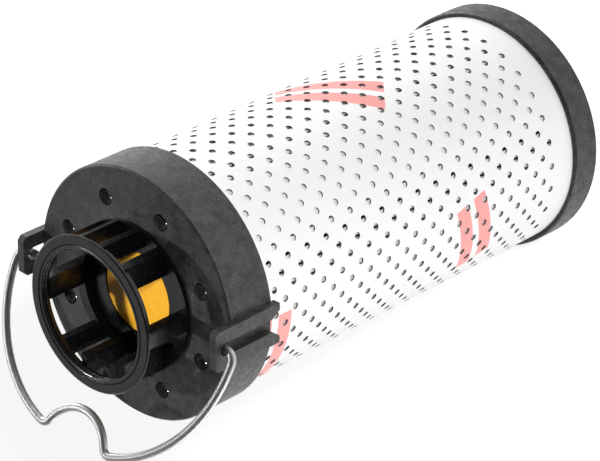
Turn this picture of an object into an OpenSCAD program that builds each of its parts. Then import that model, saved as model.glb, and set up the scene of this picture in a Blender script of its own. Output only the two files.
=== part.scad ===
// Hydraulic filter element: a pleated cylinder between two end caps, with a valve cage and a wire bail.
// It stands upright on its plain lower cap. The origin is on the axis, on the lower cap's underside.

/* [Body] */
// Height from the underside to the upper cap's face
body_h = 197.2; // [150:0.2:260]
// Outside diameter of the two end caps
cap_d = 95; // [88:1:110]
// Wall of the caps' skirts
skirt_wall = 1.9; // [1.4:0.1:2.6]
// Depth of the upper cap over the sleeve
top_cap_h = 20; // [14:1:28]
// Height of the lower cap
bottom_cap_h = 12.8; // [11:0.2:20]
// Thickness of the flat plate of each cap
plate_t = 3; // [2.4:0.2:4]
// Chamfer on the caps' outer corners
cap_chamfer = 0.7; // [0.3:0.1:1]
// Glue gap between a skirt and the sleeve
bond_gap = 0.1; // [0.05:0.05:0.3]

/* [Glue holes] */
// Number of glue holes in the upper cap's face
glue_holes = 8; // [6:1:10]
// Diameter of a glue hole
glue_hole_d = 6.4; // [4:0.2:8]
// Distance of the glue holes' middles from the cap's edge
glue_hole_inset = 11.8; // [9:0.1:14]
// Depth of the glue layer at each end
glue_t = 5; // [3:0.5:7]

/* [Sleeve] */
// Wall of the perforated sleeve
sleeve_wall = 0.6; // [0.4:0.1:1]
// Diameter of a hole in the sleeve
sleeve_hole_d = 2.5; // [1.5:0.1:3]
// Number of hole columns around the sleeve, an even number
sleeve_columns = 60; // [40:4:60]
// Height between two holes of one column
sleeve_pitch = 9.57; // [7:0.01:14]
// Plain band between the upper cap's rim and the highest hole
sleeve_top_band = 4.1; // [3:0.1:12]

/* [Pleated pack] */
// Spacing of the pleats around the support tube
pleat_pitch = 3.5; // [3.4:0.1:5]
// Thickness of each of the five pleated layers
layer_t = 0.25; // [0.15:0.05:0.25]
// Open width inside one pleat at its root
pleat_gap = 0.4; // [0.3:0.1:0.6]
// Slit between the tips of two pleats
pleat_slit = 1.1; // [0.8:0.1:2]
// Clearance between the pack and the parts on both sides of it
pack_clearance = 0.4; // [0.3:0.1:1]
// Thickness of the steel strip that closes the pack
seam_t = 0.4; // [0.3:0.1:0.6]
// Depth of that strip's two legs
seam_leg = 6; // [3:0.5:8]

/* [Support tube] */
// Width of the upper cap's face, from its edge to the opening
face_w = 21.5; // [19:0.5:22]
// Wall of the collar around that opening
collar_wall = 2; // [1.5:0.1:2.5]
// Height of the collars inside the caps
collar_h = 7; // [5:0.5:10]
// Wall of the perforated steel tube
tube_wall = 0.8; // [0.6:0.1:1.2]
// Clearance of the tube on the caps' collars
tube_clearance = 0.1; // [0.05:0.05:0.3]
// Diameter of a hole in the tube
tube_hole_d = 6; // [4:0.5:8]
// Number of hole columns around the tube, an even number
tube_columns = 12; // [10:2:14]
// Height between two holes of one column
tube_pitch = 20; // [16:1:26]

/* [Outlet] */
// Step from the upper cap's opening in to the outlet bore
outlet_step = 4; // [3.5:0.5:5]
// Cord diameter of the outlet's sealing ring
ring_cord_d = 3.6; // [3:0.1:4]
// How far the sealing ring stands into the bore
ring_proud = 0.7; // [0.4:0.1:1]

/* [Valve cage] */
// Height of the cage above the cap's face
cage_h = 21.3; // [16:0.1:30]
// How far the cage's front collar stands out over its fins
collar_proud = 1.3; // [0.6:0.1:3]
// Thickness of the collar's front flange
flange_t = 0.8; // [0.6:0.1:1.5]
// How far the fins stand out over the collar's wall, under the flange
fin_step = 1; // [0.6:0.1:1.4]
// Height of the front collar
cage_collar_h = 3.6; // [3:0.1:5]
// Chamfer on the collar's rims
rim_chamfer = 0.4; // [0.2:0.1:0.6]
// Wall of the collar at its mouth
mouth_wall = 1.5; // [1.2:0.1:1.8]
// Width of the ledge behind the seal
cage_ledge_w = 1.2; // [1:0.1:1.6]
// Thickness of that ledge
cage_ledge_t = 0.9; // [0.6:0.1:1.2]
// How far the cage's base ring reaches over the cap's face
base_ring_w = 2.2; // [1.2:0.1:3]
// Thickness of the base ring
cage_base_t = 1.5; // [1:0.1:2.5]
// Wall of the cage's neck in the cap's opening
neck_wall = 1.8; // [1.4:0.1:2.2]
// Running gap between the neck and the cap's opening
neck_clearance = 0.2; // [0.1:0.05:0.4]
// Thickness of a fin
fin_t = 2.4; // [1.6:0.1:3]
// Place of the first pair of fins along the hinge
fin_x = 14.9; // [13:0.1:16]
// Spacing of the fins
fin_pitch = 10.8; // [9:0.1:11]
// Depth of the fins, from outside to the cage's opening
fin_depth = 7; // [5:0.2:8]
// Depth of the last pair of fins
last_fin_depth = 4.4; // [3:0.2:8]
// Thickness of the last pair of fins
last_fin_t = 3.2; // [2:0.1:4]
// How far the foot along a last fin's outer edge turns towards the next fin
foot_w = 1.5; // [0.5:0.1:3]
// Thickness of that foot
foot_t = 2; // [1.5:0.1:3]
// Width of the rib at the fins' wide window
narrow_rib_w = 6.4; // [4:0.2:9]
// Width of the rib opposite
broad_rib_w = 8.6; // [6:0.2:11]
// Depth of these two ribs
rib_depth = 4.5; // [3:0.1:6]
// Depth of the valve floor below the cap's face
floor_depth = 1.6; // [1:0.1:4]
// Thickness of the valve floor
floor_t = 2; // [1.5:0.1:3]
// Width of the valve floor, from the neck in to the seat's bore
floor_w = 7.9; // [7:0.1:10]
// Thickness of the rubber ring in the collar
spigot_seal_t = 2.4; // [1.6:0.1:2.6]

/* [Bypass valve] */
// Clearance of the plate's raised face in the seat bore
face_clearance = 0.4; // [0.3:0.1:0.6]
// Thickness of the valve's rubber ring
valve_seal_t = 1; // [0.8:0.1:1.5]
// Overlap of the valve plate behind the floor
seat_overlap = 2.3; // [1.8:0.1:2.8]
// Thickness of the valve plate
valve_plate_t = 2.5; // [2:0.1:4]
// Radius of the valve's stem
stem_r = 3; // [2.5:0.1:4]
// Length of the spring at rest
spring_len = 28; // [24:0.5:36]
// Mean radius of the spring
spring_r = 9.5; // [8.5:0.1:11]
// Wire diameter of the spring
spring_wire_d = 1.8; // [1.2:0.1:2.2]
// Number of turns of the spring
spring_turns = 6; // [4:1:8]
// Thickness of the basket's flange and floor
basket_t = 2; // [1.6:0.1:3]
// Room around the valve plate inside the basket
basket_room = 1.4; // [1.2:0.1:2]
// Gap between the basket's legs and the neck's bore line
basket_gap = 0.4; // [0.2:0.1:1]
// Width of a leg of the basket
basket_leg_w = 9; // [6:0.5:12]
// Length of the hub that guides the stem
hub_h = 7; // [5:0.5:9]
// Running clearance of the stem in the hub
stem_clearance = 0.08; // [0.05:0.01:0.1]
// Thickness of the stem's retaining ring
clip_t = 1.2; // [1:0.1:2]

/* [Bail] */
// Diameter of the bail's wire
wire_d = 3; // [2.5:0.1:3.5]
// Height of the bail's hinge above the cap's face
hinge_h = 4.5; // [4.2:0.1:6]
// Reach of the bail from its hinge to its top
bail_reach = 54; // [48:0.5:60]
// Radius of the bail's two bends at the lugs
bail_bend_r = 4; // [3.5:0.5:5]
// Radius of the bail's two corners
bail_corner_r = 3.5; // [3:0.1:5]
// Radius of the finger dip in the bail's middle
dip_r = 15; // [12:0.5:18]
// Depth of that dip
dip_depth = 12.5; // [8:0.5:15]
// Lean of the bail from upright
bail_lean = 62; // [0:1:90]
// Thickness of a lug
lug_t = 3; // [2.4:0.1:4]
// Width of a lug
lug_w = 15.4; // [12:0.2:20]
// How far a lug stands out from the skirt
lug_proud = 2.2; // [1.6:0.1:3]
// Chamfer on a lug's upper corners
lug_chamfer = 1.5; // [0.5:0.1:2.5]
// Bridge of a lug above its slot
lug_bridge = 2.4; // [2:0.1:4]
// Width of the slot in a lug
slot_w = 5; // [4:0.1:6]
// Length of the lug's tips below the skirt
tip_h = 1.5; // [0.5:0.1:4]
// Height of the lead-in at the slot's open end
lead_in_h = 3.8; // [2:0.1:6]
// Widening of the slot at its open end, on each side
lead_in_w = 2.6; // [1:0.1:3]

/* [Hidden] */
$fn = 96;
eps = 0.01;
through = 1;

// Caps and sleeve
cap_r = cap_d / 2;
pocket_r = cap_r - skirt_wall;
sleeve_r = pocket_r - bond_gap;
sleeve_inner_r = sleeve_r - sleeve_wall;
sleeve_z0 = plate_t;
sleeve_z1 = body_h - plate_t;
skirt_z = body_h - top_cap_h;
cap_opening_r = cap_r - face_w;
collar_outer_r = cap_opening_r + collar_wall;
tube_r0 = collar_outer_r + tube_clearance;
tube_r1 = tube_r0 + tube_wall;

// Pleated pack
pack_r0 = tube_r1 + pack_clearance;
pack_r1 = sleeve_inner_r - pack_clearance - seam_t;
pack_z0 = plate_t + glue_t;
pack_z1 = body_h - plate_t - glue_t;
pack_t = 5 * layer_t;
pleats = floor(2 * PI * pack_r0 / pleat_pitch);
pleat_root_half = pleat_gap / 2 + pack_t;
pleat_tip_half = (PI * pack_r1 / pleats) - pleat_slit / 2;

// Outlet ring
outlet_r = cap_opening_r - outlet_step;
ring_z = plate_t + collar_h / 2;
ring_mean_r = outlet_r - ring_proud + ring_cord_d / 2;
groove_r = ring_mean_r + ring_cord_d / 2;

// Cage, in heights
cage_top = body_h + cage_h;
collar_z = cage_top - cage_collar_h;
seal_z = collar_z + cage_ledge_t;
floor_top = body_h - floor_depth;
floor_under = floor_top - floor_t;
neck_r1 = cap_opening_r - neck_clearance;
neck_r0 = neck_r1 - neck_wall;
seat_r = neck_r0 - floor_w;
cage_base_r = neck_r1 + base_ring_w;
cage_collar_r = cage_base_r + collar_proud;
collar_wall_r = cage_base_r - fin_step;
cage_mouth_r = collar_wall_r - mouth_wall;
flange_z = cage_top - flange_t;
cage_ledge_r = cage_mouth_r - cage_ledge_w;
fin_inner_r = cage_base_r - fin_depth;
lip_back = 0.2;
lip_depth = 0.5;
lip_corner = 0.2;
last_fin_x = fin_x - 3 * fin_pitch;
last_fin_y = sqrt(pow(cage_base_r, 2) - pow(last_fin_x, 2)) - last_fin_depth;
foot_x = last_fin_x + fin_t / 2 + foot_w;
foot_y = sqrt(pow(cage_base_r, 2) - pow(foot_x, 2)) - foot_t;

// Valve, from the seat down
valve_gap = 0.1;
seal_top = floor_under - valve_gap;
plate_top = seal_top - valve_seal_t;
plate_under = plate_top - valve_plate_t;
spring_z0 = plate_under - spring_len;
basket_under = spring_z0 - basket_t;
hub_wall = 2.4;
clip_gap = 0.3;
clip_groove = 0.5;
clip_proud = 2;
clip_slot = 2.4;
face_drop = 0.2;
seal_inset = 0.4;
guide_gap = 0.3;
clip_z = basket_under - clip_gap - clip_t;
stem_end = clip_z - clip_t;
face_r = seat_r - face_clearance;
valve_plate_r = seat_r + seat_overlap;
basket_r = valve_plate_r + basket_room;
basket_r1 = neck_r0 - basket_gap;
spring_guide_r = spring_r - spring_wire_d / 2 - guide_gap;

// Lugs and bail
lug_x1 = cap_r + lug_proud;
lug_x0 = lug_x1 - lug_t;
hinge_z = body_h + hinge_h;
lug_top = hinge_z + slot_w / 2 + lug_bridge;
lug_low = skirt_z - tip_h;
wire_r = wire_d / 2;
pin_past = 2.4;
bend_gap = 0.3;
pin_end_x = lug_x0 - pin_past;
leg_x = lug_x1 + bail_bend_r + bend_gap;
arc_r = bail_reach - bail_bend_r;
arc_x = leg_x - arc_r;
dip_s = bail_reach - dip_depth + dip_r;

// One ring with a rectangular section
module ring(r0, r1, h) {
    difference() {
        cylinder(h = h, r = r1);
        translate([0, 0, -through]) cylinder(h = h + 2 * through, r = r0);
    }
}

// Mirrors its children in the plane across the hinge's middle
module both_sides() {
    children();
    mirror([1, 0, 0]) children();
}

// Upper cap
module top_cap_shell() {
    rotate_extrude() polygon([
        [cap_opening_r, body_h], [cap_r - cap_chamfer, body_h], [cap_r, body_h - cap_chamfer],
        [cap_r, skirt_z], [pocket_r, skirt_z], [pocket_r, sleeve_z1],
        [collar_outer_r, sleeve_z1], [collar_outer_r, sleeve_z1 - collar_h],
        [cap_opening_r, sleeve_z1 - collar_h]]);
}

module lug() {
    half = lug_w / 2;
    translate([lug_x0, 0, 0]) rotate([90, 0, 90]) linear_extrude(lug_t) polygon([
        [-half, lug_low], [half, lug_low], [half, lug_top - lug_chamfer], [half - lug_chamfer, lug_top],
        [lug_chamfer - half, lug_top], [-half, lug_top - lug_chamfer]]);
}

module lug_slot() {
    translate([lug_x0 - eps, 0, hinge_z]) rotate([0, 90, 0]) {
        cylinder(h = lug_t + through, d = slot_w);
        translate([0, -slot_w / 2, 0]) cube([hinge_z - lug_low + through, slot_w, lug_t + through]);
    }
    translate([lug_x0 - eps, 0, 0]) rotate([90, 0, 90]) linear_extrude(lug_t + through) polygon([
        [-slot_w / 2, lug_low + lead_in_h], [slot_w / 2, lug_low + lead_in_h],
        [slot_w / 2 + lead_in_w, lug_low - eps], [-slot_w / 2 - lead_in_w, lug_low - eps]]);
}

module top_end_cap() {
    color("#2b2d2c") difference() {
        union() {
            top_cap_shell();
            both_sides() lug();
        }
        both_sides() lug_slot();
        for (i = [0 : glue_holes - 1]) rotate([0, 0, (i + 0.5) * 360 / glue_holes])
            translate([cap_r - glue_hole_inset, 0, sleeve_z1 - through])
                cylinder(h = plate_t + 2 * through, d = glue_hole_d, $fn = 48);
    }
}

// Lower cap
module bottom_end_cap() {
    color("#2b2d2c") difference() {
        rotate_extrude() polygon([
            [outlet_r, 0], [cap_r - cap_chamfer, 0], [cap_r, cap_chamfer],
            [cap_r, bottom_cap_h - cap_chamfer], [cap_r - cap_chamfer, bottom_cap_h],
            [pocket_r, bottom_cap_h], [pocket_r, plate_t],
            [collar_outer_r, plate_t], [collar_outer_r, plate_t + collar_h],
            [outlet_r, plate_t + collar_h]]);
        translate([0, 0, ring_z - ring_cord_d / 2]) cylinder(h = ring_cord_d, r = groove_r);
    }
}

module outlet_seal() {
    color("#161616") translate([0, 0, ring_z]) rotate_extrude()
        translate([ring_mean_r, 0]) circle(d = ring_cord_d, $fn = 32);
}

// Sleeve with staggered holes, one column of them in each of its flats
function flats(r) = [for (i = [0 : sleeve_columns - 1]) let(a = (i + 0.5) * 360 / sleeve_columns)
    r * [cos(a), sin(a)]];

module outer_sleeve() {
    top_hole_z = skirt_z - sleeve_top_band;
    rows = floor((top_hole_z - sleeve_pitch / 2 - bottom_cap_h - sleeve_hole_d) / sleeve_pitch);
    color("#f4f3f0") difference() {
        translate([0, 0, sleeve_z0]) linear_extrude(sleeve_z1 - sleeve_z0) difference() {
            polygon(flats(sleeve_r));
            polygon(flats(sleeve_inner_r));
        }
        for (i = [0 : sleeve_columns - 1], k = [0 : rows])
            rotate([0, 0, i * 360 / sleeve_columns])
                translate([sleeve_inner_r - through, 0, top_hole_z - (k + (i % 2) / 2) * sleeve_pitch])
                    rotate([0, 90, 0]) cylinder(h = sleeve_wall + 2 * through, d = sleeve_hole_d, $fn = 16);
    }
}

module support_tube() {
    tube_h = sleeve_z1 - sleeve_z0;
    low_z = pack_z0 + tube_hole_d;
    rows = floor((pack_z1 - tube_hole_d - tube_pitch / 2 - low_z) / tube_pitch);
    color("#b9bcbe") difference() {
        translate([0, 0, sleeve_z0]) ring(tube_r0, tube_r1, tube_h);
        for (i = [0 : tube_columns - 1], k = [0 : rows])
            rotate([0, 0, i * 360 / tube_columns])
                translate([tube_r0 - through, 0, low_z + (k + (i % 2) / 2) * tube_pitch]) rotate([0, 90, 0])
                    cylinder(h = tube_wall + 2 * through, d = tube_hole_d, $fn = 24);
    }
}

// Outline of the pleats, set back by some of the layers
function pleat_point(x, y, a) = [x * cos(a) - y * sin(a), x * sin(a) + y * cos(a)];
function pleat_outline(depth) = let(
        root_half = pleat_root_half - depth,
        tip_half = pleat_tip_half - depth,
        tip = pack_r1 - depth,
        root = sqrt(pow(pack_r0 + pack_t - depth, 2) - root_half * root_half))
    [for (i = [0 : pleats - 1]) let(a = i * 360 / pleats)
        each [pleat_point(root, -root_half, a), pleat_point(tip, -tip_half, a),
            pleat_point(tip, tip_half, a), pleat_point(root, root_half, a)]];

module pleated_layer(n) {
    translate([0, 0, pack_z0]) linear_extrude(pack_z1 - pack_z0) difference() {
        polygon(pleat_outline(n * layer_t));
        polygon(pleat_outline((n + 1) * layer_t));
    }
}

module outer_mesh() { color("#aeb2b4") pleated_layer(0); }
module outer_fleece() { color("#f2f1ec") pleated_layer(1); }
module glass_media() { color("#f7f6f1") pleated_layer(2); }
module inner_fleece() { color("#eeede8") pleated_layer(3); }
module inner_mesh() { color("#aeb2b4") pleated_layer(4); }

// Steel strip folded over the pleat that holds the pack's two ends
module seam_strip() {
    half = pleat_tip_half;
    color("#b5b8ba") translate([0, 0, pack_z0]) rotate([0, 0, 180 / pleats * 2 * floor(pleats / 4)])
        linear_extrude(pack_z1 - pack_z0) difference() {
            translate([pack_r1 - seam_leg, -half - seam_t]) square([seam_leg + seam_t, 2 * (half + seam_t)]);
            translate([pack_r1 - seam_leg - eps, -half]) square([seam_leg + eps, 2 * half]);
        }
}

module glue_layer() {
    linear_extrude(glue_t) difference() {
        polygon(flats(sleeve_inner_r));
        circle(r = tube_r1);
    }
}

module top_glue() { color("#15171b") translate([0, 0, pack_z1]) glue_layer(); }
module bottom_glue() { color("#15171b") translate([0, 0, plate_t]) glue_layer(); }

// Cage: collar, ribs, base ring, neck and valve floor in one moulding
module rib(angle, width) {
    rotate([0, 0, angle]) translate([cage_base_r - rib_depth, -width / 2, floor_top - eps])
        cube([rib_depth, width, flange_z + eps - floor_top]);
}

// The fins stand side by side across the hinge, cut off inside by a round opening
module fin_pair(x, t) {
    translate([x + fin_t / 2 - t, -cage_base_r, floor_top - eps])
        cube([t, 2 * cage_base_r, flange_z + eps - floor_top]);
}

// A foot along a last fin's outer edge
module foot() {
    translate([last_fin_x, foot_y, floor_top - eps])
        cube([foot_x - last_fin_x, cage_base_r - foot_y, flange_z + eps - floor_top]);
}

module fins() {
    difference() {
        union() {
            for (i = [0 : 2]) fin_pair(fin_x - i * fin_pitch, fin_t);
            fin_pair(last_fin_x, last_fin_t);
        }
        translate([0, 0, floor_top - through]) cylinder(h = cage_h + through, r = fin_inner_r);
        translate([last_fin_x - last_fin_t, -last_fin_y, floor_top - through])
            cube([2 * last_fin_t, 2 * last_fin_y, cage_h + through]);
    }
    foot();
    mirror([0, 1, 0]) foot();
}

module valve_cage() {
    color("#1b1d20") {
        intersection() {
            difference() {
                union() {
                    fins();
                    rib(0, narrow_rib_w);
                    rib(180, broad_rib_w);
                }
                translate([0, 0, collar_z + eps]) cylinder(h = cage_collar_h, r = cage_mouth_r);
            }
            union() {
                translate([0, 0, body_h]) cylinder(h = cage_h, r = cage_base_r);
                translate([0, 0, floor_top - through]) cylinder(h = floor_depth + 2 * through, r = neck_r1);
            }
        }
        rotate_extrude() polygon([
            [cage_ledge_r, collar_z], [collar_wall_r, collar_z], [collar_wall_r, flange_z],
            [cage_collar_r, flange_z], [cage_collar_r, cage_top - rim_chamfer],
            [cage_collar_r - rim_chamfer, cage_top], [cage_mouth_r + rim_chamfer, cage_top],
            [cage_mouth_r, cage_top - rim_chamfer], [cage_mouth_r, seal_z], [cage_ledge_r, seal_z]]);
        rotate_extrude() polygon([
            [seat_r, floor_under], [neck_r1, floor_under], [neck_r1, body_h], [cage_base_r, body_h],
            [cage_base_r, body_h + cage_base_t], [neck_r0, body_h + cage_base_t],
            [neck_r0, floor_top], [seat_r, floor_top]]);
    }
}

// Rubber ring with two lips in the cage's mouth
module spigot_seal() {
    lip_r = cage_ledge_r + lip_back;
    h = spigot_seal_t;
    color("#121212") translate([0, 0, seal_z]) rotate_extrude() polygon([
        [cage_mouth_r, 0], [lip_r + lip_corner, 0], [lip_r, h / 6], [lip_r + lip_depth, h / 2],
        [lip_r, h * 5 / 6], [lip_r + lip_corner, h], [cage_mouth_r, h]]);
}

// Basket that hangs under the valve floor and guides the stem
module valve_basket() {
    hub_r = stem_r + hub_wall;
    color("#22262b") {
        translate([0, 0, floor_under - basket_t]) ring(basket_r, neck_r1, basket_t);
        intersection() {
            translate([0, 0, basket_under]) ring(basket_r, basket_r1, floor_under - basket_under);
            for (a = [30, 150, 270]) rotate([0, 0, a])
                translate([0, -basket_leg_w / 2, basket_under])
                    cube([basket_r1, basket_leg_w, floor_under - basket_under]);
        }
        translate([0, 0, basket_under]) difference() {
            union() {
                ring(spring_r + spring_wire_d, basket_r1, basket_t);
                for (a = [30, 150, 270]) rotate([0, 0, a])
                    translate([0, -basket_leg_w / 2, 0]) cube([basket_r, basket_leg_w, basket_t]);
                cylinder(h = hub_h, r = hub_r);
            }
            translate([0, 0, -through]) cylinder(h = hub_h + 2 * through, r = stem_r + stem_clearance);
        }
    }
}

// Valve plate: a raised face that fills the seat bore, a flange and a stem
module bypass_plate() {
    color("#f0aa28") difference() {
        union() {
            translate([0, 0, plate_top]) cylinder(h = floor_top - face_drop - plate_top, r = face_r);
            translate([0, 0, plate_under]) cylinder(h = valve_plate_t, r = valve_plate_r);
            translate([0, 0, stem_end]) cylinder(h = plate_under - stem_end + eps, r = stem_r);
            translate([0, 0, plate_under - basket_t]) cylinder(h = basket_t + eps, r = spring_guide_r);
        }
        translate([0, 0, clip_z]) ring(stem_r - clip_groove, stem_r + through, clip_t);
    }
}

module valve_seal() {
    color("#141414") translate([0, 0, plate_top]) ring(face_r, valve_plate_r - seal_inset, valve_seal_t);
}

module stem_clip() {
    color("#c0c2c4") translate([0, 0, clip_z]) difference() {
        ring(stem_r - clip_groove, stem_r + clip_proud, clip_t);
        translate([0, -clip_slot / 2, -through]) cube([stem_r + 2 * clip_proud, clip_slot, clip_t + 2 * through]);
    }
}

// Helical spring between the basket's floor and the valve plate
spring_sides = 8;
spring_steps = 14;
spring_rings = spring_turns * spring_steps;
spring_rise = spring_len - spring_wire_d;
function spring_ring(i) = let(
        turn = i * 360 / spring_steps,
        height = spring_z0 + spring_wire_d / 2 + spring_rise * i / spring_rings)
    [for (k = [0 : spring_sides - 1]) let(
            b = k * 360 / spring_sides,
            r = spring_r + spring_wire_d / 2 * cos(b))
        [r * cos(turn), r * sin(turn), height + spring_wire_d / 2 * sin(b)]];

module bypass_spring() {
    side_faces = [for (i = [0 : spring_rings - 1], k = [0 : spring_sides - 1]) let(
            a = i * spring_sides + k,
            b = i * spring_sides + (k + 1) % spring_sides)
        [a, b, b + spring_sides, a + spring_sides]];
    first_face = [for (k = [0 : spring_sides - 1]) spring_sides - 1 - k];
    last_face = [for (k = [0 : spring_sides - 1]) spring_rings * spring_sides + k];
    color("#9fa3a6") polyhedron(
        points = [for (i = [0 : spring_rings]) each spring_ring(i)],
        faces = concat([first_face], [last_face], side_faces));
}

// The bail's centre line lies in a plane, with its hinge along X and its top towards Y
function arc_points(centre, radius, from_angle, to_angle, steps) =
    [for (i = [0 : steps]) let(a = from_angle + (to_angle - from_angle) * i / steps)
        centre + radius * [cos(a), sin(a)]];
function heading(v) = atan2(v[1], v[0]);

// Centre of a corner's arc, which touches the side arc from inside and the dip from outside
function corner_centre(p, q) = let(
        a = arc_r - bail_corner_r,
        b = dip_r + bail_corner_r,
        d = norm(q - p),
        u = (q - p) / d,
        m = (a * a - b * b + d * d) / (2 * d),
        h = sqrt(a * a - m * m))
    p + m * u + h * [u[1], -u[0]];

// From the pin's end, round the lug's bend, up the side, round the corner and down to the middle of the dip
function half_line() = let(
        bend = [leg_x - bail_bend_r, bail_bend_r],
        side = [arc_x, bail_bend_r],
        dip = [0, dip_s],
        corner = corner_centre(side, dip),
        side_end = heading(corner - side),
        dip_end = heading(corner - dip))
    concat(
        [[pin_end_x, 0]],
        arc_points(bend, bail_bend_r, -90, 0, 6),
        [for (i = [1 : 15]) side + arc_r * [cos(side_end * i / 16), sin(side_end * i / 16)]],
        arc_points(corner, bail_corner_r, side_end, 180 + dip_end, 7),
        [for (i = [1 : 6]) let(a = dip_end + (-90 - dip_end) * i / 6) dip + dip_r * [cos(a), sin(a)]]);

function whole_line() = let(half = half_line(), n = len(half))
    concat(half, [for (i = [n - 2 : -1 : 0]) [-half[i][0], half[i][1]]]);

// A round wire along a flat line, as one closed skin
module flat_wire(line, radius, sides) {
    n = len(line);
    function tangent(i) = let(d = line[min(i + 1, n - 1)] - line[max(i - 1, 0)]) d / norm(d);
    function section(i) = let(t = tangent(i))
        [for (k = [0 : sides - 1]) let(b = k * 360 / sides, c = radius * cos(b))
            [line[i][0] - c * t[1], line[i][1] + c * t[0], radius * sin(b)]];
    polyhedron(
        points = [for (i = [0 : n - 1]) each section(i)],
        faces = concat(
            [[for (k = [sides - 1 : -1 : 0]) k]],
            [[for (k = [0 : sides - 1]) (n - 1) * sides + k]],
            [for (i = [0 : n - 2], k = [0 : sides - 1]) let(a = i * sides + k, b = i * sides + (k + 1) % sides)
                [a, b, b + sides, a + sides]]));
}

module bail_handle() {
    color("#b7b9ba") translate([0, 0, hinge_z]) rotate([90 + bail_lean, 0, 0])
        flat_wire(whole_line(), wire_r, 12);
}

top_end_cap();
bottom_end_cap();
outer_sleeve();
support_tube();
outer_mesh();
outer_fleece();
glass_media();
inner_fleece();
inner_mesh();
seam_strip();
top_glue();
bottom_glue();
outlet_seal();
valve_cage();
spigot_seal();
valve_basket();
bypass_plate();
valve_seal();
bypass_spring();
stem_clip();
bail_handle();
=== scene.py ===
import math

import bmesh
import bpy
from mathutils import Matrix, Vector


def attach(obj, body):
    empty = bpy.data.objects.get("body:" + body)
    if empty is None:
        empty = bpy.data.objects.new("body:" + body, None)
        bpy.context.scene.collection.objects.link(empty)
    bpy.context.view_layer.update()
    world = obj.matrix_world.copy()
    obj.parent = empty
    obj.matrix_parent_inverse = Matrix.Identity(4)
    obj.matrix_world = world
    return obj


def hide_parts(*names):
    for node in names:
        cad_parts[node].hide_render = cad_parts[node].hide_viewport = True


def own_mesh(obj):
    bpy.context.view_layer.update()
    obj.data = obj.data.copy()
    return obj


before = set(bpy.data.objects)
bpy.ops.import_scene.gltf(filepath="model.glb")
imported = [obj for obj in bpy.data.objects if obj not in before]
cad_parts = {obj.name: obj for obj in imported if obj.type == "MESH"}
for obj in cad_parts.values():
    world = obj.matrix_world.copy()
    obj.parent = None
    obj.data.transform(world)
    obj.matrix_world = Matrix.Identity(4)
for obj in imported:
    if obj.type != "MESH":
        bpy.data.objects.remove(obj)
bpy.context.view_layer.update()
mm = 0.001

# Support tube. A rolled steel tube with wide punched holes stands on the two caps'
# collars and keeps the pack from folding inwards. It is zinc plated, with a
# faint cloudy grain.


def new_material(name, colour, roughness, metallic=0.0):
    material = bpy.data.materials.new(name)
    material.use_nodes = True
    shader = material.node_tree.nodes["Principled BSDF"]
    shader.inputs["Base Color"].default_value = (*colour, 1)
    shader.inputs["Roughness"].default_value = roughness
    shader.inputs["Metallic"].default_value = metallic
    return material, shader


def object_noise(material, scale, detail=3.0, stretch=(1, 1, 1)):
    nodes, links = material.node_tree.nodes, material.node_tree.links
    place = nodes.new("ShaderNodeTexCoord")
    mapping = nodes.new("ShaderNodeMapping")
    mapping.inputs["Scale"].default_value = stretch
    noise = nodes.new("ShaderNodeTexNoise")
    noise.inputs["Scale"].default_value = scale
    noise.inputs["Detail"].default_value = detail
    links.new(place.outputs["Object"], mapping.inputs["Vector"])
    links.new(mapping.outputs["Vector"], noise.inputs["Vector"])
    return noise.outputs["Fac"]


def spread(material, value, low, high, start=0.3, end=0.7):
    node = material.node_tree.nodes.new("ShaderNodeMapRange")
    node.inputs["From Min"].default_value = start
    node.inputs["From Max"].default_value = end
    node.inputs["To Min"].default_value = low
    node.inputs["To Max"].default_value = high
    material.node_tree.links.new(value, node.inputs["Value"])
    return node.outputs["Result"]


def two_tones(material, factor, first, second):
    node = material.node_tree.nodes.new("ShaderNodeMix")
    node.data_type = "RGBA"
    material.node_tree.links.new(factor, node.inputs["Factor"])
    for socket, tone in (("A", first), ("B", second)):
        target = [i for i in node.inputs if i.name == socket and i.type == "RGBA"][0]
        if isinstance(tone, tuple):
            target.default_value = (*tone, 1)
        else:
            material.node_tree.links.new(tone, target)
    return [o for o in node.outputs if o.type == "RGBA"][0]


def relief(material, shader, height, depth, strength=1.0):
    node = material.node_tree.nodes.new("ShaderNodeBump")
    node.inputs["Distance"].default_value = depth
    node.inputs["Strength"].default_value = strength
    material.node_tree.links.new(height, node.inputs["Height"])
    material.node_tree.links.new(node.outputs["Normal"], shader.inputs["Normal"])


def paint(piece, material):
    piece.data.materials.clear()
    piece.data.materials.append(material)


tube_steel, shader = new_material("Zinc plated tube", (0.6, 0.61, 0.62), 0.35, 0.9)
cloud = object_noise(tube_steel, 260)
tube_steel.node_tree.links.new(spread(tube_steel, cloud, 0.28, 0.5), shader.inputs["Roughness"])
relief(tube_steel, shader, cloud, 0.02 * mm)
paint(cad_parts["support_tube"], tube_steel)

# Pleated pack. Glass fibre media lies between two fleeces and two fine meshes, and
# all five are folded together and stand in a ring round the tube. The outer mesh
# is white plastic, the inner one steel. The outer mesh carries painted shade: its
# colour darkens towards the valleys between the pleats.

threads_per_m = 2200
weave_depth = 0.05 * mm
fold_tip_r = 44.15 * mm
fold_shade_start = 0.35 * mm
fold_shade_end = 0.9 * mm
painted_fold_shade = (0.02, 0.02, 0.02)


# Painted shade: the outer mesh is near black deeper than 0.9 mm below the fold tips and keeps its own colour within
# 0.35 mm of them, measured by radius from the axis.
def paint_fold_shade(material, place, tone):
    nodes, links = material.node_tree.nodes, material.node_tree.links
    flat = nodes.new("ShaderNodeVectorMath")
    flat.operation = "MULTIPLY"
    flat.inputs[1].default_value = (1, 1, 0)
    links.new(place.outputs["Object"], flat.inputs[0])
    radius = nodes.new("ShaderNodeVectorMath")
    radius.operation = "LENGTH"
    links.new(flat.outputs["Vector"], radius.inputs[0])
    shade_end, shade_start = fold_tip_r - fold_shade_end, fold_tip_r - fold_shade_start
    outside = spread(material, radius.outputs["Value"], 0, 1, shade_end, shade_start)
    return two_tones(material, outside, painted_fold_shade, tone)


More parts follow.
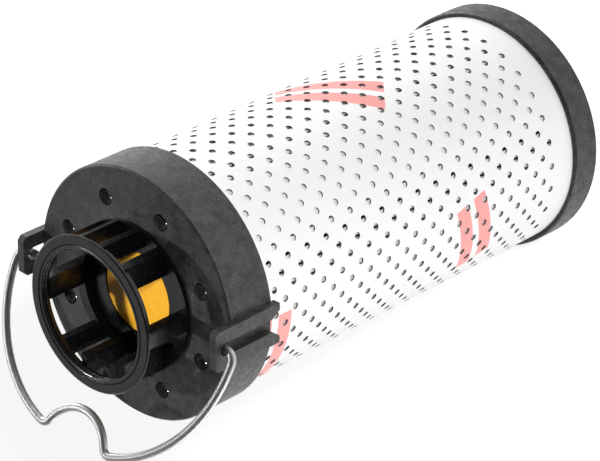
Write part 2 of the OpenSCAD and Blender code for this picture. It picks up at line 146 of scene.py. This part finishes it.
def woven(name, colour, dark, roughness, metallic, shaded):
    material, shader = new_material(name, colour, roughness, metallic)
    nodes, links = material.node_tree.nodes, material.node_tree.links
    place = nodes.new("ShaderNodeTexCoord")
    heights = []
    for direction in ("X", "Z"):
        wave = nodes.new("ShaderNodeTexWave")
        wave.bands_direction = direction
        wave.inputs["Scale"].default_value = threads_per_m / 20
        links.new(place.outputs["Object"], wave.inputs["Vector"])
        heights.append(wave.outputs["Fac"])
    crossing = nodes.new("ShaderNodeMath")
    crossing.operation = "MAXIMUM"
    links.new(heights[0], crossing.inputs[0])
    links.new(heights[1], crossing.inputs[1])
    tone = two_tones(material, crossing.outputs["Value"], dark, colour)
    if shaded:
        tone = paint_fold_shade(material, place, tone)
    links.new(tone, shader.inputs["Base Color"])
    relief(material, shader, crossing.outputs["Value"], weave_depth)
    return material


def felted(name, colour, shade):
    material, shader = new_material(name, colour, 0.9)
    fibres = object_noise(material, 1800, 4, (1, 1, 0.4))
    tone = two_tones(material, spread(material, fibres, 0, 1), shade, colour)
    material.node_tree.links.new(tone, shader.inputs["Base Color"])
    relief(material, shader, fibres, 0.08 * mm)
    shader.inputs["Sheen Weight"].default_value = 0.2
    return material


outer_weave = woven("White plastic mesh", (0.93, 0.93, 0.92), (0.85, 0.85, 0.85), 0.6, 0, True)
inner_weave = woven("Steel mesh", (0.55, 0.56, 0.57), (0.25, 0.25, 0.26), 0.4, 0.9, False)
fleece = felted("Fleece", (0.86, 0.85, 0.82), (0.74, 0.73, 0.7))
media = felted("Glass fibre media", (0.9, 0.89, 0.86), (0.8, 0.79, 0.76))
for node, material in (
    ("outer_mesh", outer_weave),
    ("outer_fleece", fleece),
    ("glass_media", media),
    ("inner_fleece", fleece),
    ("inner_mesh", inner_weave),
):
    paint(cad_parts[node], material)

# Seam strip. A folded strip of sheet steel clamps the two ends of the pack along
# one pleat. It is pressed flat and stays bright.

strip_steel, shader = new_material("Bright strip steel", (0.62, 0.63, 0.64), 0.3, 1.0)
grain = object_noise(strip_steel, 900, 2, (1, 1, 0.05))
strip_steel.node_tree.links.new(spread(strip_steel, grain, 0.22, 0.42), shader.inputs["Roughness"])
paint(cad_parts["seam_strip"], strip_steel)

# Glue. Each cap is filled with a ring of cast resin that seals the pack's end. It
# is black and glossy, and shows at the bottom of the holes in the upper cap.

glue, shader = new_material("Cast resin", (0.012, 0.014, 0.018), 0.12)
shader.inputs["Coat Weight"].default_value = 0.6
ripple = object_noise(glue, 300, 2)
relief(glue, shader, ripple, 0.5 * mm, 0.6)
for node in ("top_glue", "bottom_glue"):
    paint(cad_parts[node], glue)


def piece_from(name, mesh_in, material, body):
    mesh = bpy.data.meshes.new(name)
    mesh_in.to_mesh(mesh)
    mesh_in.free()
    piece = bpy.data.objects.new(name, mesh)
    bpy.context.scene.collection.objects.link(piece)
    paint(piece, material)
    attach(piece, body)
    return piece


def shade_round(piece, degrees=30):
    piece.data.shade_smooth()
    piece.data.set_sharp_from_angle(angle=math.radians(degrees))


hole_count = 8
hole_r = 3.2 * mm
hole_circle_r = 35.7 * mm
resin_top = 194.2 * mm
climb = 1.7 * mm
dish_rings = 6
resin = bmesh.new()
for i in range(hole_count):
    turn = math.radians((i + 0.5) * 360 / hole_count)
    middle = Vector((hole_circle_r * math.cos(turn), hole_circle_r * math.sin(turn), resin_top))
    rings = []
    for k in range(dish_rings + 1):
        share = k / dish_rings
        circle = bmesh.ops.create_circle(resin, segments=32, radius=hole_r * max(share, 0.02))["verts"]
        bmesh.ops.translate(resin, verts=circle, vec=middle + Vector((0, 0, climb * share**3)))
        if rings:
            edges = list({e for v in rings[-1] + circle for e in v.link_edges if all(w in rings[-1] or w in circle for w in e.verts)})
            bmesh.ops.bridge_loops(resin, edges=edges)
        else:
            bmesh.ops.contextual_create(resin, geom=circle)
        rings.append(circle)
bmesh.ops.recalc_face_normals(resin, faces=resin.faces)
for face in resin.faces:
    if face.normal.z < 0:
        face.normal_flip()
hole_resin = piece_from("hole_resin", resin, glue, "element")
shade_round(hole_resin, 60)

# End caps. Both are moulded in black glass filled nylon, with soft corners and a
# cloudy, slightly speckled skin. The upper one carries two slotted lugs for the
# bail and a ring of glue holes, the lower one the outlet.

cap_corner = 0.35 * mm


def softened(node, name, material, body, corner, segments=3):
    copy = bmesh.new()
    copy.from_mesh(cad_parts[node].data)
    bmesh.ops.remove_doubles(copy, verts=copy.verts, dist=0.001 * mm)
    bmesh.ops.dissolve_limit(copy, angle_limit=math.radians(0.5), verts=copy.verts, edges=copy.edges)
    piece = piece_from(name, copy, material, body)
    shade_round(piece)
    if corner:
        bevel = piece.modifiers.new("Soft corners", "BEVEL")
        bevel.width = corner
        bevel.segments = segments
        bevel.limit_method = "ANGLE"
        bevel.angle_limit = math.radians(35)
        bevel.harden_normals = True
    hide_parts(node)
    return piece


def maths(material, operation, first, second=None):
    node = material.node_tree.nodes.new("ShaderNodeMath")
    node.operation = operation
    for socket, value in zip(node.inputs, (first, second)):
        if isinstance(value, (int, float)):
            socket.default_value = value
        elif value is not None:
            material.node_tree.links.new(value, socket)
    return node.outputs["Value"]


def moulded_black(name, dark, light, smooth, rough, grain_depth):
    material, shader = new_material(name, dark, rough)
    links = material.node_tree.links
    cloud = object_noise(material, 220, 6)
    grain = object_noise(material, 2000, 3)
    mottle = maths(material, "MULTIPLY", spread(material, cloud, 0.15, 0.9), spread(material, grain, 0, 1.25))
    tone = two_tones(material, mottle, dark, light)
    links.new(tone, shader.inputs["Base Color"])
    patches = object_noise(material, 420, 5, (1, 1, 1.4))
    links.new(spread(material, patches, smooth, rough, 0.35, 0.65), shader.inputs["Roughness"])
    speckle = object_noise(material, 1500, 3)
    relief(material, shader, speckle, grain_depth)
    return material


cap_plastic = moulded_black(
    "Glass filled nylon", (0.002, 0.0024, 0.002), (0.065, 0.069, 0.061), 0.36, 0.6, 0.05 * mm
)
for node, name in (("bottom_end_cap", "lower_cap"), ("top_end_cap", "upper_cap")):
    softened(node, name, cap_plastic, "element", cap_corner)

# Outlet ring. A round rubber ring sits in a groove of the lower cap's bore and
# seals the element on the outlet pipe.

rubber, shader = new_material("Black rubber", (0.014, 0.014, 0.015), 0.42)
dust = object_noise(rubber, 900, 3)
rubber.node_tree.links.new(spread(rubber, dust, 0.34, 0.55), shader.inputs["Roughness"])
softened("outlet_seal", "outlet_ring", rubber, "element", 0)

# Sleeve. A thin white plastic sheet with staggered punched holes is rolled round
# the pack and glued into both caps. A few plain pale red bars are printed on it.
# The walls of the holes are painted near black, as painted shade inside the holes.

sleeve_r = 45.5 * mm
sleeve_wall = 0.6 * mm
sheet_white = (0.87, 0.875, 0.87)
print_red = (0.87, 0.36, 0.34)
painted_hole_shade = (0.04, 0.04, 0.04)
edge_margin = 0.04 * mm
bar_gap = 3.2 * mm
bar_width = 6.5 * mm
bar_places = ((90, 99, 43, 40), (-10, 67, 75, 30), (-22, 173.5, 90, 34))


def within(material, value, centre, width):
    off = maths(material, "ABSOLUTE", maths(material, "SUBTRACT", value, centre))
    return maths(material, "LESS_THAN", off, width / 2)


sheet, shader = new_material("White printed sheet", sheet_white, 0.42)
sheet_cloud = object_noise(sheet, 120, 4)
sheet.node_tree.links.new(spread(sheet, sheet_cloud, 0.36, 0.5), shader.inputs["Roughness"])
place = sheet.node_tree.nodes.new("ShaderNodeTexCoord")
parts = sheet.node_tree.nodes.new("ShaderNodeSeparateXYZ")
sheet.node_tree.links.new(place.outputs["Object"], parts.inputs["Vector"])
azimuth = maths(sheet, "ARCTAN2", parts.outputs["Y"], parts.outputs["X"])
printed = None
for bar_azimuth, bar_height, turn, length in bar_places:
    round_way = maths(sheet, "MULTIPLY", maths(sheet, "SUBTRACT", azimuth, math.radians(bar_azimuth)), sleeve_r)
    up_way = maths(sheet, "SUBTRACT", parts.outputs["Z"], bar_height * mm)
    c, s = math.cos(math.radians(turn)), math.sin(math.radians(turn))
    along_bar = maths(
        sheet, "ADD", maths(sheet, "MULTIPLY", round_way, s), maths(sheet, "MULTIPLY", up_way, c)
    )
    across_bar = maths(
        sheet, "SUBTRACT", maths(sheet, "MULTIPLY", round_way, c), maths(sheet, "MULTIPLY", up_way, s)
    )
    inside = within(sheet, along_bar, 0, length * mm)
    for side in (-1, 1):
        bar = within(sheet, across_bar, side * (bar_gap + bar_width) / 2, bar_width)
        bar = maths(sheet, "MULTIPLY", bar, inside)
        printed = bar if printed is None else maths(sheet, "MAXIMUM", printed, bar)
inked = two_tones(sheet, printed, sheet_white, print_red)
square_x = maths(sheet, "MULTIPLY", parts.outputs["X"], parts.outputs["X"])
square_y = maths(sheet, "MULTIPLY", parts.outputs["Y"], parts.outputs["Y"])
radius = maths(sheet, "SQRT", maths(sheet, "ADD", square_x, square_y))
# Painted shade: the hole walls, found by their radius inside the sheet's thickness, get a near black colour instead
# of the sheet's white.
in_hole = within(sheet, radius, sleeve_r - sleeve_wall / 2, sleeve_wall - 2 * edge_margin)
sheet.node_tree.links.new(two_tones(sheet, in_hole, inked, painted_hole_shade), shader.inputs["Base Color"])

copy = bmesh.new()
copy.from_mesh(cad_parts["outer_sleeve"].data)
bmesh.ops.remove_doubles(copy, verts=copy.verts, dist=0.001 * mm)
for vert in copy.verts:
    radius = vert.co.xy.length
    wanted = sleeve_r if radius > sleeve_r - sleeve_wall / 2 - 0.03 * mm else sleeve_r - sleeve_wall
    vert.co.xy *= wanted / radius
sleeve = piece_from("perforated_sleeve", copy, sheet, "element")
shade_round(sleeve)
skin_normals = []
for face in sleeve.data.polygons:
    way = Vector((*face.center.xy, 0)).normalized()
    facing = face.normal.dot(way)
    for corner in face.vertices:
        straight_out = Vector((*sleeve.data.vertices[corner].co.xy, 0)).normalized()
        on_skin = abs(facing) > 0.9
        skin_normals.append(straight_out * math.copysign(1, facing) if on_skin else Vector((0, 0, 0)))
sleeve.data.normals_split_custom_set(skin_normals)
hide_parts("outer_sleeve")

# Valve cage. One smooth black moulding is pressed into the upper cap: a front
# collar on thin ribs, a base ring and the floor with the valve's seat.

cage_plastic = moulded_black(
    "Smooth black nylon", (0.0015, 0.002, 0.0025), (0.004, 0.0045, 0.0055), 0.2, 0.3, 0.01 * mm
)
cage = softened("valve_cage", "valve_cage", cage_plastic, "element", 0.4 * mm, 4)

# Lip ring. A rubber ring with two lips lies in the collar's mouth and seals
# the cage on the collar of the housing's cover.

lip_profile = (
    (25.5, 215.8), (25.5, 218.3), (24.9, 218.45), (24.2, 218.3), (23.8, 217.9), (24.0, 217.4),
    (24.5, 217.1), (24.0, 216.8), (23.8, 216.3), (24.2, 215.95), (24.8, 215.8),
)
ring = bmesh.new()
corners = [ring.verts.new((r * mm, 0, z * mm)) for r, z in lip_profile]
outline = [ring.edges.new((a, b)) for a, b in zip(corners, corners[1:] + corners[:1])]
bmesh.ops.spin(ring, geom=outline, cent=(0, 0, 0), axis=(0, 0, 1), angle=2 * math.pi, steps=128, use_merge=True)
bmesh.ops.remove_doubles(ring, verts=ring.verts, dist=0.01 * mm)
bmesh.ops.recalc_face_normals(ring, faces=ring.faces)
lip_rubber, shader = new_material("Lip ring rubber", (0.004, 0.004, 0.005), 0.22)
lip_ring = piece_from("lip_ring", ring, lip_rubber, "element")
shade_round(lip_ring, 80)
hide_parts("spigot_seal")

# Bypass valve. An orange plate with a rubber ring is held against the seat by a
# spring in a basket, and a retaining ring keeps its stem in the basket's hub.

basket_plastic = moulded_black("Basket nylon", (0.018, 0.019, 0.021), (0.03, 0.032, 0.034), 0.36, 0.5, 0.03 * mm)
softened("valve_basket", "valve_basket", basket_plastic, "element", 0.3 * mm, 2)

orange, shader = new_material("Orange nylon", (0.86, 0.42, 0.03), 0.5)
shader.inputs["Specular IOR Level"].default_value = 0.3
patch = object_noise(orange, 300, 4)
orange.node_tree.links.new(
    two_tones(orange, spread(orange, patch, 0, 1), (0.9, 0.43, 0.02), (0.95, 0.48, 0.03)), shader.inputs["Base Color"]
)
orange.node_tree.links.new(spread(orange, patch, 0.34, 0.48), shader.inputs["Roughness"])
softened("bypass_plate", "valve_plate", orange, "valve", 0.2 * mm, 2)
softened("valve_seal", "valve_ring", rubber, "valve", 0)

spring_steel, shader = new_material("Spring wire", (0.45, 0.46, 0.47), 0.3, 1.0)
drawn = object_noise(spring_steel, 1200, 2)
spring_steel.node_tree.links.new(spread(spring_steel, drawn, 0.24, 0.4), shader.inputs["Roughness"])
spring = softened("bypass_spring", "valve_spring", spring_steel, "element", 0)
shade_round(spring, 60)
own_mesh(spring)
softened("stem_clip", "retaining_ring", spring_steel, "valve", 0.1 * mm, 2)

# Bail. A length of dull galvanised wire is bent in one plane, with a finger dip
# in the middle, and its two ends snap into the slots of the lugs.

wire_r = 1.5 * mm
hinge_z = 201.7 * mm
pin_end_x = 44.3 * mm
leg_x = 54 * mm
bend_r = 4 * mm
side_r = 50 * mm
corner_r = 3.5 * mm
dip_r = 15 * mm
dip_y = 56.5 * mm
bail_lean = 62
wire_sides = 16


def swept(wire, loop, centre, degrees, steps):
    turned = bmesh.ops.spin(
        wire, geom=loop, cent=(*centre, 0), axis=(0, 0, 1), angle=math.radians(degrees), steps=steps, use_merge=False
    )
    return [e for e in turned["geom_last"] if isinstance(e, (bmesh.types.BMEdge, bmesh.types.BMVert))]


def heading(point):
    return math.degrees(math.atan2(point.y, point.x))


bend_at = Vector((leg_x - bend_r, bend_r))
side_at = Vector((leg_x - side_r, bend_r))
dip_at = Vector((0, dip_y))
to_dip = dip_at - side_at
long_side = side_r - corner_r
short_side = dip_r + corner_r
along = (long_side**2 - short_side**2 + to_dip.length_squared) / (2 * to_dip.length)
across = math.sqrt(long_side**2 - along**2)
corner_at = side_at + along * to_dip.normalized() + across * Vector((to_dip.y, -to_dip.x)).normalized()
side_turn = heading(corner_at - side_at)
corner_turn = 180 + heading(corner_at - dip_at) - side_turn
dip_turn = -90 - heading(corner_at - dip_at)

wire = bmesh.new()
end = bmesh.ops.create_circle(
    wire, cap_ends=True, segments=wire_sides, radius=wire_r, matrix=Matrix.Rotation(math.radians(90), 4, "Y")
)
bmesh.ops.translate(wire, verts=end["verts"], vec=(pin_end_x, 0, 0))
loop = list(wire.edges) + list(wire.verts)
straight = bmesh.ops.extrude_edge_only(wire, edges=list(wire.edges))["geom"]
loop = [g for g in straight if isinstance(g, (bmesh.types.BMVert, bmesh.types.BMEdge))]
front = [v for v in loop if isinstance(v, bmesh.types.BMVert)]
bmesh.ops.translate(wire, verts=front, vec=(bend_at.x - pin_end_x, 0, 0))
loop = front + [e for e in loop if isinstance(e, bmesh.types.BMEdge) and all(v in front for v in e.verts)]
loop = swept(wire, loop, bend_at, 90, 10)
loop = swept(wire, loop, side_at, side_turn, 48)
loop = swept(wire, loop, corner_at, corner_turn, 14)
loop = swept(wire, loop, dip_at, dip_turn, 14)
bmesh.ops.mirror(wire, geom=wire.verts[:] + wire.edges[:] + wire.faces[:], axis="X", merge_dist=0.01 * mm)
bmesh.ops.recalc_face_normals(wire, faces=wire.faces)
lean = Matrix.Translation((0, 0, hinge_z)) @ Matrix.Rotation(math.radians(90 + bail_lean), 4, "X")
bmesh.ops.transform(wire, matrix=lean, verts=wire.verts)

galvanised, shader = new_material("Galvanised wire", (0.34, 0.345, 0.34), 0.4, 1.0)
spangle = object_noise(galvanised, 500, 4)
galvanised.node_tree.links.new(
    two_tones(galvanised, spread(galvanised, spangle, 0, 1), (0.4, 0.405, 0.4), (0.52, 0.525, 0.52)),
    shader.inputs["Base Color"],
)
galvanised.node_tree.links.new(spread(galvanised, spangle, 0.44, 0.58), shader.inputs["Roughness"])
bail = piece_from("wire_bail", wire, galvanised, "bail")
shade_round(bail, 50)
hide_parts("bail_handle")

# Stage. The element stands on its lower cap on a plain white floor, under soft
# lamps, and the camera looks down on the cage from the bail's free side.

floor_size = 6.0
glow_range = (0.3, 1.6, 0.77, 0.97)
soft_light = 0.03
mirrored_light = 0.6
mirrored_dark = 0.02
dark_side = (0.75, 0.45, 0.3)
floor_mesh = bmesh.new()
bmesh.ops.create_grid(floor_mesh, x_segments=1, y_segments=1, size=floor_size)
floor_material, shader = new_material("Floor", (0.8, 0.8, 0.8), 0.9)
floor_nodes, floor_links = floor_material.node_tree.nodes, floor_material.node_tree.links
path = floor_nodes.new("ShaderNodeLightPath")
glow = floor_nodes.new("ShaderNodeEmission")
floor_place = floor_nodes.new("ShaderNodeTexCoord")
floor_distance = floor_nodes.new("ShaderNodeVectorMath")
floor_distance.operation = "LENGTH"
floor_links.new(floor_place.outputs["Object"], floor_distance.inputs[0])
# The floor's glow is painted light, seen by camera, mirror and transmission rays. It is weaker near the element and
# stronger away from it, so the element's real shadow still shows near it while the far floor stays white.
floor_glow = floor_nodes.new("ShaderNodeMapRange")
floor_glow.interpolation_type = "SMOOTHSTEP"
for socket, value in zip(("From Min", "From Max", "To Min", "To Max"), glow_range):
    floor_glow.inputs[socket].default_value = value
floor_links.new(floor_distance.outputs["Value"], floor_glow.inputs["Value"])
floor_links.new(floor_glow.outputs["Result"], glow.inputs["Strength"])
added = floor_nodes.new("ShaderNodeAddShader")
floor_links.new(shader.outputs["BSDF"], added.inputs[0])
floor_links.new(glow.outputs["Emission"], added.inputs[1])
mixed = floor_nodes.new("ShaderNodeMixShader")
camera_or_mirror = maths(floor_material, "MAXIMUM", path.outputs["Is Camera Ray"], path.outputs["Is Glossy Ray"])
seen_white = maths(floor_material, "MAXIMUM", camera_or_mirror, path.outputs["Is Transmission Ray"])
floor_links.new(seen_white, mixed.inputs["Fac"])
floor_links.new(shader.outputs["BSDF"], mixed.inputs[1])
floor_links.new(added.outputs["Shader"], mixed.inputs[2])
floor_links.new(mixed.outputs["Shader"], floor_nodes["Material Output"].inputs["Surface"])
floor_data = bpy.data.meshes.new("Floor")
floor_mesh.to_mesh(floor_data)
floor_mesh.free()
floor = bpy.data.objects.new("Floor", floor_data)
bpy.context.scene.collection.objects.link(floor)
paint(floor, floor_material)

world = bpy.data.worlds.new("Studio")
bpy.context.scene.world = world
world.use_nodes = True
sky = world.node_tree.nodes["Background"]
sky.inputs["Color"].default_value = (1, 1, 1, 1)
world_nodes, world_links = world.node_tree.nodes, world.node_tree.links
seen = world_nodes.new("ShaderNodeLightPath")
direction = world_nodes.new("ShaderNodeTexCoord")
facing = world_nodes.new("ShaderNodeVectorMath")
facing.operation = "DOT_PRODUCT"
facing.inputs[1].default_value = dark_side
world_links.new(direction.outputs["Generated"], facing.inputs[0])
mirrored = world_nodes.new("ShaderNodeMapRange")
mirrored.interpolation_type = "SMOOTHSTEP"
mirrored.inputs["From Min"].default_value = -0.6
mirrored.inputs["From Max"].default_value = 0.7
mirrored.inputs["To Min"].default_value = mirrored_light
mirrored.inputs["To Max"].default_value = mirrored_dark
world_links.new(facing.outputs["Value"], mirrored.inputs["Value"])
brightness = soft_light
for ray, level in (
    ("Is Glossy Ray", mirrored.outputs["Result"]),
    ("Is Transmission Ray", 1),
    ("Is Camera Ray", 1),
):
    mix = world_nodes.new("ShaderNodeMix")
    world_links.new(seen.outputs[ray], mix.inputs["Factor"])
    for socket, value in (("A", brightness), ("B", level)):
        if isinstance(value, (int, float)):
            mix.inputs[socket].default_value = value
        else:
            world_links.new(value, mix.inputs[socket])
    brightness = mix.outputs["Result"]
world_links.new(brightness, sky.inputs["Strength"])


def lamp(name, azimuth, height, distance, width, tall, power, mirrored_too):
    data = bpy.data.lights.new(name, "AREA")
    data.shape = "RECTANGLE"
    data.size = width
    data.size_y = tall
    data.energy = power
    holder = bpy.data.objects.new(name, data)
    bpy.context.scene.collection.objects.link(holder)
    holder.visible_glossy = mirrored_too
    a = math.radians(azimuth)
    holder.location = (distance * math.cos(a), distance * math.sin(a), height)
    aim = Vector((0, 0, min(height, 0.19)))
    holder.rotation_euler = (holder.location - aim).to_track_quat("Z", "Y").to_euler()


lamp("Key", 42, 0.87, 1.23, 0.12, 0.12, 15.3, False)
cage_lamp = bpy.data.lights.new("Cage", "SPOT")
cage_lamp.energy = 48
cage_lamp.spot_size = math.radians(4.8)
cage_lamp.spot_blend = 0.3
cage_lamp.shadow_soft_size = 0.04
cage_light = bpy.data.objects.new("Cage", cage_lamp)
bpy.context.scene.collection.objects.link(cage_light)
cage_light.location = (-0.75 * math.cos(math.radians(-6)), -0.75 * math.sin(math.radians(-6)), 1.16)
aim = Vector((0, 0, 0.2))
cage_light.rotation_euler = (cage_light.location - aim).to_track_quat("Z", "Y").to_euler()
lamp("Left side", 145, 0.07, 0.8, 0.5, 0.25, 7, True)
lamp("Right side", -50, 0.1, 0.8, 0.8, 0.16, 4, True)

camera_data = bpy.data.cameras.new("Camera")
camera_data.lens = 179.9
camera_data.sensor_width = 36
camera_data.clip_end = 50
camera = bpy.data.objects.new("Camera", camera_data)
bpy.context.scene.collection.objects.link(camera)
camera.location = (665.8 * mm, 506.26 * mm, 819.45 * mm)
camera.rotation_euler = tuple(math.radians(a) for a in (-27.125, 43.72, 1.039))
bpy.context.scene.camera = camera
bpy.context.scene.view_settings.view_transform = "Standard"
